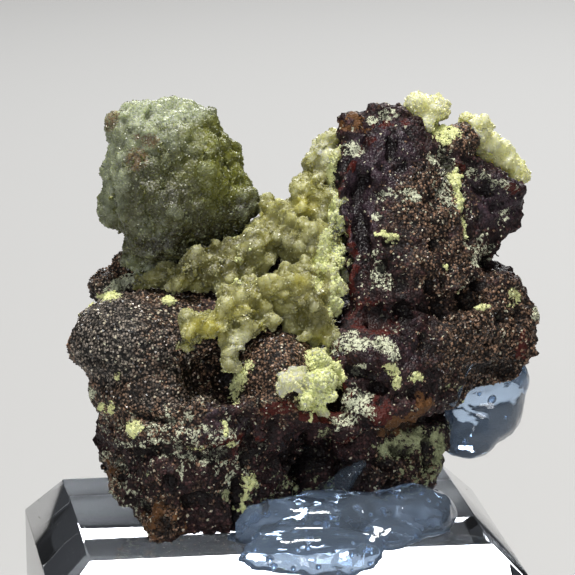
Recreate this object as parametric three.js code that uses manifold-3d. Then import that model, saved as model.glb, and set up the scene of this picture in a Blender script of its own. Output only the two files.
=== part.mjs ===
// Austinite on limonite: a green ball and a yellow crust of austinite on a dark gossan rock,
// held by hot-melt glue on a bevelled clear acrylic base. Millimetres, +Z up.
// The origin is the centre of the base's underside.
import * as THREE from "three";
import { ConvexGeometry } from "three/addons/geometries/ConvexGeometry.js";
import { ImprovedNoise } from "three/addons/math/ImprovedNoise.js";
import { TessellateModifier } from "three/addons/modifiers/TessellateModifier.js";
import { mergeVertices } from "three/addons/utils/BufferGeometryUtils.js";
import Module from "manifold-3d";

const wasm = await Module();
wasm.setup();

// Driving dimensions
const BASE_SIDE = 38.1;
const BASE_HEIGHT = 12.7;
const BASE_BEVEL = 3.1;
const SPECIMEN_TURN_DEG = -5.7; // the rock stands a little askew on its base
const GAP = 0.3; // kept between pieces that touch
const ROCK_FACET = 7; // longest edge on a broken rock face
const WARP_DEPTH = 0.55; // how far the natural unevenness moves a surface
const WARP_SCALE = 3.4; // distance between neighbouring swells of it
const WARP_SHIFTS = [11.3, 5.7, 8.1]; // keeps the swells along the three axes unlike each other
const SPLIT_ROUNDS = 8; // most times that a long edge is halved
const WELD_DISTANCE = 0.001; // corners closer than this are one

// Finishes, from the photograph
const FINISHES = {
  limonite: { color: 0x3b2420, roughness: 0.75, metalness: 0.0 },
  greenAustinite: { color: 0x8b9656, roughness: 0.45, metalness: 0.0 },
  yellowAustinite: { color: 0xc3bf72, roughness: 0.5, metalness: 0.0 },
  glue: { color: 0xd9dde6, roughness: 0.15, metalness: 0.0, transparent: true, opacity: 0.4 },
  acrylic: { color: 0xe8edf5, roughness: 0.05, metalness: 0.0, transparent: true, opacity: 0.3 },
};

// Places below are [across, depth, up] on the turned specimen, from the centre of the base's top.
// Broken blocks of the rock, as the corners of their flat faces
const ROCK_BLOCKS = {
  lowerBlock: [
    [-14, -7, 9], [-13.6, -8, 5.3], [-12.3, -10.5, 3], [-9.8, -13.6, 1.1], [-8.4, -14.8, 0.6],
    [-5.2, -14.4, 0.6], [-1.7, -12.6, 1], [2.3, -11, 1], [-7.1, -15.4, 4.3], [-4.7, -15.4, 6.7],
    [-9.4, -14.6, 8.2], [-0.9, -13.5, 9.4], [2.4, -12, 7.4], [-7, -15.2, 10.6], [-11.3, -13, 11],
    [-3.4, -15.2, 11.3], [-13.6, 3, 9], [-12, 4, 3], [-9, 6, 1.2], [1, 7, 1.2], [1, 7, 12],
  ],
  ledge: [
    [-3.4, -15.4, 11.5], [0.5, -14.8, 11.9], [1.9, -14.6, 11.6], [3.4, -14.5, 10.1],
    [7.6, -13.6, 8.9], [-3, -14, 9.6], [0.5, -13.4, 9.4], [7.6, -12, 7.8], [-3, -4, 11], [8, -4, 9.5],
  ],
  core: [
    [-12, -4, 1.4], [10, -6.5, 1.6], [13, 2, 1.6], [8, 9, 1.2], [-9, 8, 1.2], [-13, 2, 13],
    [-11.5, 7, 16], [10, 10, 17], [14, 5, 14], [6, -8, 12], [-8, -6, 14], [2, -8, 12],
  ],
  saddle: [
    [-12.5, 3, 17.6], [-11.5, 8, 16.5], [-4, -3, 18.6], [2, -4.5, 20.2], [5.6, 1, 26], [6.5, 6, 27],
    [6, 9.5, 20], [-6, 9, 17], [0, 3, 22], [-8, 0, 18.6], [4, -9, 15], [-2, -8, 15],
  ],
  rightFoot: [
    [7.6, -9.4, 8.2], [14.6, -4, 8], [14.6, -4, 6.2], [14, -5, 4], [12.8, -7, 2.4], [9.5, -9, 1.6],
    [7.2, -9.8, 2.4], [4, -8.5, 1.4], [14, 4, 8], [13, 5, 2.2], [5, -9, 8.6],
  ],
  upperSlab: [
    [5.9, -1.5, 32.7], [7.2, -0.5, 33], [9.2, 0.5, 33.2], [11.3, 0.5, 32.8], [13.1, -0.5, 31.3],
    [15.3, -2, 27.2], [16.4, -3.5, 22.5], [17.7, -4, 20], [5.1, -3, 27.6], [6.4, -5, 23.8],
    [6.5, -8, 18.7], [9.7, -4.7, 26.1], [12.6, -2.7, 29], [12.4, -5.8, 23.8], [10.6, -8.8, 18.7],
    [15.4, -7, 18.3], [7, 6, 31], [11, 8, 31], [14, 9, 27], [17, 8, 20], [7, 9, 20],
  ],
  rightLedge: [
    [13.5, 1, 30.8], [15.2, 1.5, 29], [19.1, 2.5, 27.1], [21.3, 3, 26], [21.7, 3, 23.6],
    [19.8, 2, 21.6], [18.8, 1, 20], [16.5, -1.5, 21], [15.2, 0, 26], [14, 8.5, 29.6],
    [20.6, 8.5, 25.4], [21, 8, 23.2], [17.5, 9, 19],
  ],
  lowerSlab: [
    [19.2, 0, 19.4], [20.9, 1, 18.6], [21.5, 0.5, 17.6], [22, 0, 14.9], [22, 0, 13.2], [21.6, 0, 12.2],
    [19.9, -1.5, 10.3], [17, -5.2, 12.6], [18.7, -4, 15.2], [15.7, -6.5, 9.8], [13.6, -9, 9],
    [10.4, -11.7, 8.8], [7.6, -13, 8.9], [5.3, -12, 12.6], [4.6, -9.5, 15.8], [6.5, -7.5, 19.4],
    [9.3, -10.6, 15.8], [12.9, -10, 14.8], [10.4, -12, 11.3], [15.4, -8, 16.1], [20, 8, 19],
    [21.2, 7, 15], [19.5, 7, 11], [13, 8, 9], [7, 6, 10],
  ],
};

// Rounded limonite lobes: centre and half sizes
const ROCK_LOBES = [
  { at: [-9.8, -5.5, 15.4], size: [6, 7.6, 3.9], detail: 3 },
  { at: [-5.4, -5.6, 15.9], size: [4.6, 6.2, 2.9], detail: 2 },
  { at: [-9.2, -6.6, 12], size: [5.2, 7, 3.8], detail: 3 },
  { at: [-12.7, -4.5, 11.5], size: [1.9, 3.3, 2.9] },
  { at: [0.8, -9.8, 13.4], size: [3.5, 4.9, 3.4], detail: 3 },
  { at: [-13.2, 2, 18.4], size: [1.6, 2, 1.6] },
  { at: [-11.4, 3, 19.9], size: [1.4, 1.8, 1.5] },
  { at: [16.1, 5, 29.2], size: [1.7, 2, 1.7] },
  { at: [14.4, 4, 29.9], size: [1.5, 2, 1.4] },
];

// Hollows broken or dissolved into the rock
const ROCK_HOLLOWS = [
  { at: [-4.4, -13, 13.4], size: [2.5, 5.4, 2.2], detail: 2 },
  { at: [4.4, -14, 5.2], size: [3.3, 4.3, 2.7] },
  { at: [17.8, -4.6, 8.6], size: [2.9, 3.7, 2.3] },
];

// Green austinite ball: a core and the humps on it
const BALL_HUMPS = [
  { at: [-7.5, -0.5, 27.1], size: [5.8, 6.3, 6], detail: 3 },
  { at: [-9.9, -0.5, 30.9], size: [3, 4.1, 3.1] },
  { at: [-6.4, 0, 31.2], size: [3.5, 4.2, 2.9], detail: 2 },
  { at: [-4.4, 0, 28.4], size: [2.8, 4.5, 3.5] },
  { at: [-2.9, 0.3, 25.2], size: [2.9, 3.7, 2.7] },
  { at: [-10.7, -0.5, 26], size: [3, 4.3, 3.3] },
  { at: [-7.9, -2.8, 24.5], size: [4.2, 4, 3.4], detail: 2 },
  { at: [-9.3, -0.5, 21.6], size: [2.3, 2.9, 2.5] },
];

// Yellow austinite crust in the hollow between ball and slab: the small balls it is made of
const CRUST_BALLS = [
  { at: [-11, 0, 19], size: 1.5 },
  { at: [-9.3, -3, 19.4], size: 1.5 },
  { at: [-7.6, -4, 20.4], size: 1.8 },
  { at: [-5.2, -4.8, 20.9], size: 2.1 },
  { at: [-2.9, -4.8, 21.3], size: 1.9 },
  { at: [-0.8, -4, 22], size: 1.9 },
  { at: [0.4, -1.4, 23.5], size: 2 },
  { at: [2.2, -2.6, 23.2], size: 2 },
  { at: [3.6, 1.6, 26.2], size: 1.6 },
  { at: [4.8, 2.6, 28.6], size: 1.8 },
  { at: [3.8, -1.6, 25.2], size: 2.1 },
  { at: [3.8, -4.2, 22.2], size: 2.1 },
  { at: [4.4, -6.6, 19.8], size: 1.9 },
  { at: [3.8, -8.4, 17.8], size: 1.8 },
  { at: [1.4, -8.4, 19.2], size: 2 },
  { at: [-0.9, -9.2, 19], size: 1.9 },
  { at: [-2.7, -10.2, 18.4], size: 1.7 },
  { at: [-4.5, -11.2, 17.8], size: 1.5 },
  { at: [-6, -11.8, 17.2], size: 1.5 },
  { at: [-1, -11.4, 17], size: 1.1 },
  { at: [-2.4, -12, 16.1], size: 1.1 },
  { at: [-3, -12.6, 14.9], size: 0.9 },
];

// Austinite on the back of the slab's top edge
const TOP_KNOB_BALLS = [
  { at: [12.8, 4.6, 31.7], size: 1.6 },
  { at: [13.9, 4.8, 32.1], size: 1.3 },
];
const BACK_CRUST_BALLS = [
  { at: [17.1, 7, 30], size: 1.3 },
  { at: [18, 7.2, 29], size: 1.5 },
  { at: [19.2, 7.5, 27.5], size: 1.5 },
  { at: [20.6, 7.2, 26.4], size: 1.2 },
];
// A tuft on the front lobe, beside the bright yellow patch
const FRONT_TUFT_BALLS = [
  { at: [1.9, -14.4, 13.5], size: 1 },
  { at: [3.2, -14.3, 12.9], size: 1.1 },
  { at: [4.6, -13.6, 13.5], size: 1.2 },
  { at: [4.6, -13.8, 12.2], size: 1 },
];

// Glue: the pool under the rock with its tongue over the base's front edge, and a glob on the right
const GLUE_POOL = [
  { at: [3, -12, 1.6], size: [7.4, 3.6, 2.4], detail: 2 },
  { at: [10, -8.6, 1], size: [5, 5.4, 2.7] },
  { at: [2.6, -16, -0.9], size: [6.8, 2.3, 2.4] },
  { at: [9, -14, 0.4], size: [3, 2, 1.2] },
];
const GLUE_GLOB = [
  { at: [17.6, 1.6, 8.6], size: [3.2, 3.6, 3.4], detail: 2 },
  { at: [16.2, 0.6, 6.4], size: [2.4, 2.9, 2.5] },
  { at: [19.4, 2, 10.2], size: [1.8, 2.6, 1.9] },
];

const noise = new ImprovedNoise();

// Moves a place by a smooth random swell, different along each axis.
function warp(point) {
  const spot = point.clone().divideScalar(WARP_SCALE);
  const swell = new THREE.Vector3(
    noise.noise(spot.x, spot.y, spot.z + WARP_SHIFTS[0]),
    noise.noise(spot.x + WARP_SHIFTS[1], spot.y, spot.z),
    noise.noise(spot.x, spot.y + WARP_SHIFTS[2], spot.z),
  );
  return point.addScaledVector(swell, WARP_DEPTH);
}

// Keeps only positions and joins the corners that faces share.
function weld(geometry) {
  geometry.deleteAttribute("normal");
  geometry.deleteAttribute("uv");
  return mergeVertices(geometry, WELD_DISTANCE);
}

function roughen(geometry) {
  const place = geometry.attributes.position;
  const point = new THREE.Vector3();
  for (let i = 0; i < place.count; i++) {
    warp(point.fromBufferAttribute(place, i));
    place.setXYZ(i, point.x, point.y, point.z);
  }
  return geometry;
}

function toSolid(geometry) {
  const vertProperties = new Float32Array(geometry.attributes.position.array);
  const triVerts = new Uint32Array(geometry.index.array);
  return new wasm.Manifold(new wasm.Mesh({ numProp: 3, vertProperties, triVerts }));
}

function toGeometry(solid) {
  const { vertProperties, triVerts } = solid.getMesh();
  const geometry = new THREE.BufferGeometry();
  geometry.setAttribute("position", new THREE.BufferAttribute(new Float32Array(vertProperties), 3));
  geometry.setIndex(new THREE.BufferAttribute(new Uint32Array(triVerts), 1));
  geometry.computeVertexNormals();
  return geometry;
}

// A rounded lump: an ellipsoid with an uneven skin, made larger all round by grow.
function lump({ at, size, detail = 1 }, grow = 0) {
  const half = (Array.isArray(size) ? size : [size, size, size]).map((length) => length + grow);
  const geometry = weld(new THREE.IcosahedronGeometry(1, detail));
  return toSolid(roughen(geometry.scale(...half).translate(...at)));
}

// A broken block: flat faces between its corners, split finely enough to be uneven.
function block(corners, grow = 0) {
  const points = corners.map((corner) => new THREE.Vector3(...corner));
  const centre = points.reduce((sum, p) => sum.add(p), new THREE.Vector3()).divideScalar(points.length);
  if (grow) points.forEach((p) => p.add(p.clone().sub(centre).setLength(grow)));
  const split = new TessellateModifier(ROCK_FACET, SPLIT_ROUNDS).modify(new ConvexGeometry(points));
  return toSolid(roughen(weld(split)));
}

function lumps(list, grow = 0) {
  return join(list.map((item) => lump(item, grow)));
}

function join(solids) {
  return solids.reduce((whole, next) => whole.add(next));
}

// The one piece left after a cut, without the crumbs beside it.
function largest(solid) {
  return solid.decompose().reduce((best, next) => (next.volume() > best.volume() ? next : best));
}

function rockSolid(grow = 0) {
  const blocks = Object.values(ROCK_BLOCKS).map((corners) => block(corners, grow));
  return largest(join(blocks).add(lumps(ROCK_LOBES, grow)).subtract(lumps(ROCK_HOLLOWS, -grow)));
}

function baseSolid(grow = 0) {
  const top = BASE_SIDE / 2 - BASE_BEVEL + grow;
  const side = BASE_SIDE / 2 + grow;
  const corners = [];
  for (const x of [-1, 1]) {
    for (const y of [-1, 1]) {
      corners.push(new THREE.Vector3(x * top, y * top, BASE_HEIGHT + grow));
      corners.push(new THREE.Vector3(x * side, y * side, BASE_HEIGHT - BASE_BEVEL + grow));
      corners.push(new THREE.Vector3(x * side, y * side, 0));
    }
  }
  return weld(new ConvexGeometry(corners));
}

function named(name, geometry, finish) {
  const mesh = new THREE.Mesh(geometry, new THREE.MeshStandardMaterial(FINISHES[finish]));
  mesh.name = name;
  return mesh;
}

// The base's room, seen from the specimen's own turned frame
const turn = THREE.MathUtils.degToRad(SPECIMEN_TURN_DEG);
const baseRoom = toSolid(baseSolid(GAP).translate(0, 0, -BASE_HEIGHT).rotateZ(-turn));
const rock = rockSolid().subtract(baseRoom);
const rockRoom = rockSolid(GAP);
const ball = largest(lumps(BALL_HUMPS).subtract(rockRoom));
const crust = largest(lumps(CRUST_BALLS).subtract(rockRoom).subtract(lumps(BALL_HUMPS, GAP)));
const topKnob = largest(lumps(TOP_KNOB_BALLS).subtract(rockRoom));
const backCrust = largest(lumps(BACK_CRUST_BALLS).subtract(rockRoom));
const frontTuft = largest(lumps(FRONT_TUFT_BALLS).subtract(rockRoom));
const glueGlob = largest(lumps(GLUE_GLOB).subtract(rockRoom));
const gluePool = largest(lumps(GLUE_POOL).subtract(rockRoom).subtract(baseRoom));

const specimen = new THREE.Group();
specimen.position.z = BASE_HEIGHT;
specimen.rotation.z = turn;
specimen.add(
  named("limonite_rock", toGeometry(rock), "limonite"),
  named("green_austinite_ball", toGeometry(ball), "greenAustinite"),
  named("yellow_austinite_crust", toGeometry(crust), "yellowAustinite"),
  named("top_austinite_knob", toGeometry(topKnob), "yellowAustinite"),
  named("back_austinite_crust", toGeometry(backCrust), "yellowAustinite"),
  named("front_austinite_tuft", toGeometry(frontTuft), "yellowAustinite"),
  named("glue_pool", toGeometry(gluePool), "glue"),
  named("glue_glob", toGeometry(glueGlob), "glue"),
);

const part = new THREE.Group();
part.add(named("acrylic_base", baseSolid(), "acrylic"), specimen);

export default part;
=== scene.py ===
import math

import bmesh
import bpy
import numpy as np
from mathutils import Matrix, Vector, noise
from mathutils.bvhtree import BVHTree


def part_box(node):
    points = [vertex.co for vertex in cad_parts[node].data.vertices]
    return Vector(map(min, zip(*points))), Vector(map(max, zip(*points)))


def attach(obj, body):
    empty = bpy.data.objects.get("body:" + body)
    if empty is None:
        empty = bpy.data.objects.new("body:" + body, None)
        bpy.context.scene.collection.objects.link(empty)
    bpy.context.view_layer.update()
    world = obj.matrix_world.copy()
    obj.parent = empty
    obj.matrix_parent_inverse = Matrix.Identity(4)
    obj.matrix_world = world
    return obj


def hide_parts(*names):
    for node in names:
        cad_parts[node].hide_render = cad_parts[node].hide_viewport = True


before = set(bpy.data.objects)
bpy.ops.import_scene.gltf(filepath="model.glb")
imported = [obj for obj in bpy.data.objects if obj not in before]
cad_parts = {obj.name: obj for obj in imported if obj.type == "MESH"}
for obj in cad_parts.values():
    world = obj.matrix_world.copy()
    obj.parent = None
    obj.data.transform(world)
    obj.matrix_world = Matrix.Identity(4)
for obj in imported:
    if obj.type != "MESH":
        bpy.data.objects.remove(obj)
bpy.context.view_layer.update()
print("frame loaded:", len(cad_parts), "nodes")

mm = 0.001  # sizes below are millimetres times this
weldDistance = 0.001 * mm

# The photograph's view, on the specimen's own axes: millimetres from the centre of the base's top
photoView = {
    "pixels": 575,
    "turn": -5.7,  # degrees that the specimen stands askew on its base
    "target": (1.71, 0.0, 18.39),
    "distance": 476.1,
    "elevation": 9.98,
    "roll": -1.26,
    "lens": 368.5,
    "sensor": 36.0,
}
photoMiddle = photoView["pixels"] / 2
photoFocal = photoView["lens"] / photoView["sensor"] * photoView["pixels"]
photoPixel = photoView["distance"] / photoFocal * mm  # what one pixel spans on the specimen


def photoCameraMatrix():
    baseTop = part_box("acrylic_base")[1].z
    turn = Matrix.Rotation(math.radians(photoView["turn"]), 4, "Z")
    tilt = math.radians(photoView["elevation"])
    roll = math.radians(photoView["roll"])
    forward = Vector((0, math.cos(tilt), -math.sin(tilt)))
    level = Vector((1, 0, 0))
    upright = Vector((0, math.sin(tilt), math.cos(tilt)))
    right = level * math.cos(roll) + upright * math.sin(roll)
    up = upright * math.cos(roll) - level * math.sin(roll)
    place = (Vector(photoView["target"]) - forward * photoView["distance"]) * mm
    axes = Matrix((right, up, -forward)).transposed().to_4x4()
    return Matrix.Translation((0, 0, baseTop)) @ turn @ Matrix.Translation(place) @ axes


photoCamera = photoCameraMatrix()


def photoPixels(points):  # where points of the model fall in the photograph
    inverse = np.array(photoCamera.inverted())
    seen = points @ inverse[:3, :3].T + inverse[:3, 3]
    across = photoMiddle - photoFocal * seen[:, 0] / seen[:, 2]
    return across, photoMiddle + photoFocal * seen[:, 1] / seen[:, 2]


def photoRay(across, down):
    ray = photoCamera.to_3x3() @ Vector((across - photoMiddle, photoMiddle - down, -photoFocal))
    return ray.normalized()


def surfaceBehind(pieces, pixels, lift=0.0, around=0.0):  # points of a surface behind photo pixels
    depsgraph = bpy.context.evaluated_depsgraph_get()
    surfaces = [BVHTree.FromObject(piece, depsgraph) for piece in pieces]
    eye = photoCamera.translation
    sides = ((0, 0), (around, 0), (-around, 0), (0, around), (0, -around))
    points = []
    for across, down in pixels:
        rays = [photoRay(across + right, down + below) for right, below in sides]
        hits = [surface.ray_cast(eye, ray) for surface in surfaces for ray in rays]
        reaches = sorted(hit[3] for hit in hits if hit[0] is not None)
        if len(reaches) > 1:
            reach = reaches[1]  # the second nearest, which bridges small gaps
        else:  # beside the surface: as far away as its nearest place
            beside = surfaces[0].find_nearest(eye + rays[0] * photoView["distance"] * mm)[0]
            reach = (beside - eye).dot(rays[0])
        points.append(eye + rays[0] * (reach - lift))  # lifted towards the viewer
    return points


# Selecting, modifiers and mesh arrays
def focusOn(piece):
    bpy.ops.object.select_all(action="DESELECT")
    piece.select_set(True)
    bpy.context.view_layer.objects.active = piece


def useModifier(piece, kind, **settings):
    focusOn(piece)
    bpy.ops.object.modifier_add(type=kind)
    modifier = piece.modifiers[-1]
    for key, value in settings.items():
        setattr(modifier, key, value)
    bpy.ops.object.modifier_apply(modifier=modifier.name)


def joinInto(piece, addition):
    focusOn(piece)
    addition.select_set(True)
    bpy.ops.object.join()


def copyNode(nodeName, pieceName):
    piece = bpy.data.objects.new(pieceName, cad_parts[nodeName].data.copy())
    bpy.context.scene.collection.objects.link(piece)
    piece.data.materials.clear()
    focusOn(piece)
    bpy.ops.object.mode_set(mode="EDIT")
    bpy.ops.mesh.select_all(action="SELECT")
    bpy.ops.mesh.remove_doubles(threshold=weldDistance)
    bpy.ops.object.mode_set(mode="OBJECT")
    return piece


def remesh(piece, voxel):
    useModifier(piece, "REMESH", mode="VOXEL", voxel_size=voxel, use_smooth_shade=True)


def soften(piece, rounds, factor=0.5):
    useModifier(piece, "SMOOTH", factor=factor, iterations=rounds)


def inflate(piece, depth, group=""):
    useModifier(piece, "DISPLACE", strength=depth, mid_level=0.0, vertex_group=group)


def swell(piece, kind, size, height, group="", middle=0.5, **textureSettings):  # uneven relief
    texture = bpy.data.textures.new(piece.name + "_" + kind.lower(), type=kind)
    texture.noise_scale = size
    for key, value in textureSettings.items():
        setattr(texture, key, value)
    useModifier(
        piece,
        "DISPLACE",
        texture=texture,
        texture_coords="LOCAL",
        mid_level=middle,
        strength=height,
        vertex_group=group,
    )


def crack(piece, size, height, group=""):  # raised lumps with cracks between them
    swell(piece, "VORONOI", size, height, group, middle=0.3, weight_1=-1.0, weight_2=1.0)


def bubble(piece, size, height):  # rounded lumps with creases between them
    swell(piece, "VORONOI", size, -height, middle=0.2, distance_metric="DISTANCE_SQUARED")


def vertexArray(piece, field):
    values = np.empty(len(piece.data.vertices) * 3, np.float32)
    piece.data.vertices.foreach_get(field, values)
    return values.reshape(-1, 3).astype(float)


def edgeArray(piece):
    ends = np.empty(len(piece.data.edges) * 2, np.int32)
    piece.data.edges.foreach_get("vertices", ends)
    return ends.reshape(-1, 2)


def cornerArray(piece):
    piece.data.calc_loop_triangles()
    corners = np.empty(len(piece.data.loop_triangles) * 3, np.int32)
    piece.data.loop_triangles.foreach_get("vertices", corners)
    return corners.reshape(-1, 3)


def zoneArray(piece, zone):
    values = np.empty(len(piece.data.vertices), np.float32)
    piece.data.attributes[zone].data.foreach_get("value", values)
    return values.astype(float)


def storeZone(piece, zone, values):
    attribute = piece.data.attributes.new(zone, "FLOAT", "POINT")
    attribute.data.foreach_set("value", values.astype(np.float32))


def smoothStep(low, high, values):
    share = np.clip((values - low) / (high - low), 0, 1)
    return share * share * (3 - 2 * share)


# Zones: patches of a surface in photo pixels
# Each patch is (across, down, half width, half height, turn, strength)
def zoneAmount(patches, across, down):
    amount = np.zeros(len(across))
    for x, y, halfWidth, halfHeight, turn, strength in patches:
        angle = math.radians(turn)
        along = (across - x) * math.cos(angle) + (down - y) * math.sin(angle)
        beside = (down - y) * math.cos(angle) - (across - x) * math.sin(angle)
        reach = np.hypot(along / halfWidth, beside / halfHeight)
        amount = np.maximum(amount, strength * smoothStep(1.6, 0.4, reach))
    return amount


def raggedField(places, size, draw):
    shift = Vector((draw, 2.3 * draw, 5.1 * draw))
    return np.array([noise.fractal(Vector(place) / size + shift, 0.7, 2.0, 5) for place in places])


def paintZones(piece, zones, raggedness=0.0, size=1.0 * mm):  # the hidden side gets the patches mirrored
    places = vertexArray(piece, "co")
    across, down = photoPixels(places)
    towards = np.array(photoCamera.translation) - places
    towards /= np.linalg.norm(towards, axis=1)[:, None]
    front = smoothStep(-0.2, 0.1, (vertexArray(piece, "normal") * towards).sum(1))
    for draw, (zone, patches) in enumerate(zones.items()):
        seen = zoneAmount(patches, across, down)
        hidden = zoneAmount(patches, photoView["pixels"] - across, down)
        amount = front * seen + (1 - front) * hidden
        touched = amount > 0.01
        if raggedness:
            amount[touched] += raggedness * raggedField(places[touched], size, draw + 1)
        storeZone(piece, zone, np.clip(amount, 0, 1.5))


def paintCrevices(piece, rounds, depth):  # how far each spot lies below its smoothed surroundings
    places = vertexArray(piece, "co")
    ends = edgeArray(piece)
    counts = np.bincount(ends.ravel(), minlength=len(places))[:, None]
    smooth = places.copy()
    for _ in range(rounds):
        total = np.zeros_like(smooth)
        np.add.at(total, ends[:, 0], smooth[ends[:, 1]])
        np.add.at(total, ends[:, 1], smooth[ends[:, 0]])
        smooth = total / counts
    hollow = ((smooth - places) * vertexArray(piece, "normal")).sum(1)
    storeZone(piece, "crevice", np.clip(hollow / depth, -1, 1))


def groupFromWeights(piece, name, weights):
    group = piece.vertex_groups.new(name=name)
    for index, weight in enumerate(weights.tolist()):
        if weight > 0.01:
            group.add([index], min(weight, 1.0), "REPLACE")


def shapeRelief(piece, zones, height, depth):  # raises and sinks the zones of those names
    paintZones(piece, zones)
    groupFromWeights(piece, "raised", zoneArray(piece, "raised"))
    inflate(piece, height, "raised")
    groupFromWeights(piece, "sunk", zoneArray(piece, "sunk"))
    inflate(piece, -depth, "sunk")


# Small shapes that repeat: each is modelled once and copied by scatter
def takeShape(seed):
    places = vertexArray(seed, "co")
    faces = [list(face.vertices) for face in seed.data.polygons]
    bpy.data.objects.remove(seed, do_unlink=True)
    return places, faces


def roundShape(detail, roughness=0.0, draw=1):  # a ball about one unit across, more or less knocked about
    bpy.ops.object.select_all(action="DESELECT")
    bpy.ops.mesh.primitive_ico_sphere_add(subdivisions=detail, radius=0.5)
    bpy.ops.object.mode_set(mode="EDIT")
    bpy.ops.transform.vertex_random(offset=roughness, seed=draw)
    bpy.ops.object.mode_set(mode="OBJECT")
    return takeShape(bpy.context.object)


def grainShape():  # an eight-sided grain
    bpy.ops.object.select_all(action="DESELECT")
    bpy.ops.mesh.primitive_cone_add(vertices=4, radius1=0.5, depth=0.5, end_fill_type="TRIFAN")
    seed = bpy.context.object
    bpy.ops.object.mode_set(mode="EDIT")
    shape = bmesh.from_edit_mesh(seed.data)
    for corner in shape.verts:
        corner.select_set(corner.co.z < 0 and corner.co.xy.length < 0.1)
    bmesh.update_edit_mesh(seed.data)
    bpy.ops.transform.translate(value=(0, 0, -0.5))  # the middle of the foot becomes the lower tip
    bpy.ops.mesh.select_all(action="SELECT")
    bpy.ops.transform.translate(value=(0, 0, 0.25))
    bpy.ops.object.mode_set(mode="OBJECT")
    return takeShape(seed)


def spreadSpots(host, count, rng, weights=None):
    places = vertexArray(host, "co")
    corners = cornerArray(host)
    sides = places[corners]
    area = np.linalg.norm(np.cross(sides[:, 1] - sides[:, 0], sides[:, 2] - sides[:, 0]), axis=1)
    chance = area if weights is None else area * weights[corners].mean(1)
    chosen = rng.choice(len(corners), count, p=chance / chance.sum())
    shares = rng.dirichlet((1, 1, 1), count)

    def blend(values):  # a vertex value at each spot
        return np.einsum("nk,nk...->n...", shares, values[corners[chosen]])

    normals = blend(vertexArray(host, "normal"))
    return blend(places), normals / np.linalg.norm(normals, axis=1)[:, None], blend


def frameAround(normals, tilt, rng):  # three axes at each spot: two random ones and the outward one
    outward = normals + tilt * rng.normal(size=normals.shape)
    outward /= np.linalg.norm(outward, axis=1)[:, None]
    first = np.cross(outward, rng.normal(size=normals.shape))
    first /= np.linalg.norm(first, axis=1)[:, None]
    return first, np.cross(outward, first), outward


def joinedCopies(name, shape, spots, axes, sizes):
    places, faces = shape
    moved = spots[:, None, :]
    for axis, direction in enumerate(axes):
        lengths = sizes[:, axis, None] * places[None, :, axis]
        moved = moved + lengths[:, :, None] * direction[:, None, :]
    step = len(places)
    allFaces = [[corner + copy * step for corner in face] for copy in range(len(spots)) for face in faces]
    mesh = bpy.data.meshes.new(name)
    mesh.from_pydata(moved.reshape(-1, 3).tolist(), [], allFaces)
    piece = bpy.data.objects.new(name, mesh)
    bpy.context.scene.collection.objects.link(piece)
    return piece


def scatter(name, host, shape, plan, weights=None, zones=()):
    rng = np.random.default_rng(plan["draw"])
    count = plan["count"]
    spots, normals, blend = spreadSpots(host, count, rng, weights)
    axes = frameAround(normals, plan["tilt"], rng)
    low, high = np.array(plan["smallest"]), np.array(plan["largest"])
    sizes = (low + (high - low) * rng.random((count, 1)) ** plan["bias"]) * mm
    sizes = sizes * rng.uniform(0.8, 1.25, sizes.shape)
    spots = spots - axes[2] * sizes[:, 2:] * plan["sink"]
    piece = joinedCopies(name, shape, spots, axes, sizes)
    perCopy = len(shape[0])
    storeZone(piece, "tone", np.repeat(rng.random(count), perCopy))
    for zone in zones:
        storeZone(piece, zone, np.repeat(blend(zoneArray(host, zone)), perCopy))
    return piece


# Shader helpers and the effects that materials share
def addNode(tree, kind, values=None, **settings):
    node = tree.nodes.new(kind)
    for key, value in settings.items():
        setattr(node, key, value)
    for socket, value in (values or {}).items():
        if isinstance(value, bpy.types.NodeSocket):
            tree.links.new(value, node.inputs[socket])
        else:
            node.inputs[socket].default_value = value
    return node


def mixColour(tree, share, first, second):
    factorSocket, firstSocket, secondSocket, resultSocket = 0, 6, 7, 2
    values = {factorSocket: share, firstSocket: first, secondSocket: second}
    return addNode(tree, "ShaderNodeMix", values, data_type="RGBA").outputs[resultSocket]


def combine(tree, operation, first, second):
    return addNode(tree, "ShaderNodeMath", {0: first, 1: second}, operation=operation).outputs[0]


def ramp(tree, value, low, high, lowTo=0.0, highTo=1.0):
    values = {"Value": value, "From Min": low, "From Max": high, "To Min": lowTo, "To Max": highTo}
    return addNode(tree, "ShaderNodeMapRange", values, interpolation_type="SMOOTHSTEP").outputs["Result"]


def zoneSocket(tree, zone):
    return addNode(tree, "ShaderNodeAttribute", attribute_name=zone).outputs["Fac"]


def noiseSocket(tree, place, scale, detail=4.0, roughness=0.55):
    values = {"Vector": place, "Scale": scale, "Detail": detail, "Roughness": roughness}
    return addNode(tree, "ShaderNodeTexNoise", values).outputs["Fac"]


def newGroup(name, inputs, output, outputKind):
    tree = bpy.data.node_groups.new(name, "ShaderNodeTree")
    for label, kind in inputs.items():
        tree.interface.new_socket(label, in_out="INPUT", socket_type="NodeSocket" + kind)
    tree.interface.new_socket(output, in_out="OUTPUT", socket_type="NodeSocket" + outputKind)
    return tree, addNode(tree, "NodeGroupInput").outputs, addNode(tree, "NodeGroupOutput")


def raggedPatchGroup():  # a zone's soft amount turned into a coat with torn edges
    inputs = {"Place": "Vector", "Amount": "Float", "Scale": "Float", "Raggedness": "Float"}
    tree, given, result = newGroup("raggedPatch", inputs, "Mask", "Float")
    torn = ramp(tree, noiseSocket(tree, given["Place"], given["Scale"], 8.0, 0.75), 0.3, 0.7, -0.5, 0.5)
    torn = combine(tree, "MULTIPLY", torn, ramp(tree, given["Amount"], 0.05, 0.3))
    total = combine(tree, "ADD", given["Amount"], combine(tree, "MULTIPLY", torn, given["Raggedness"]))
    tree.links.new(ramp(tree, total, 0.45, 0.55), result.inputs["Mask"])
    return tree


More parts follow.
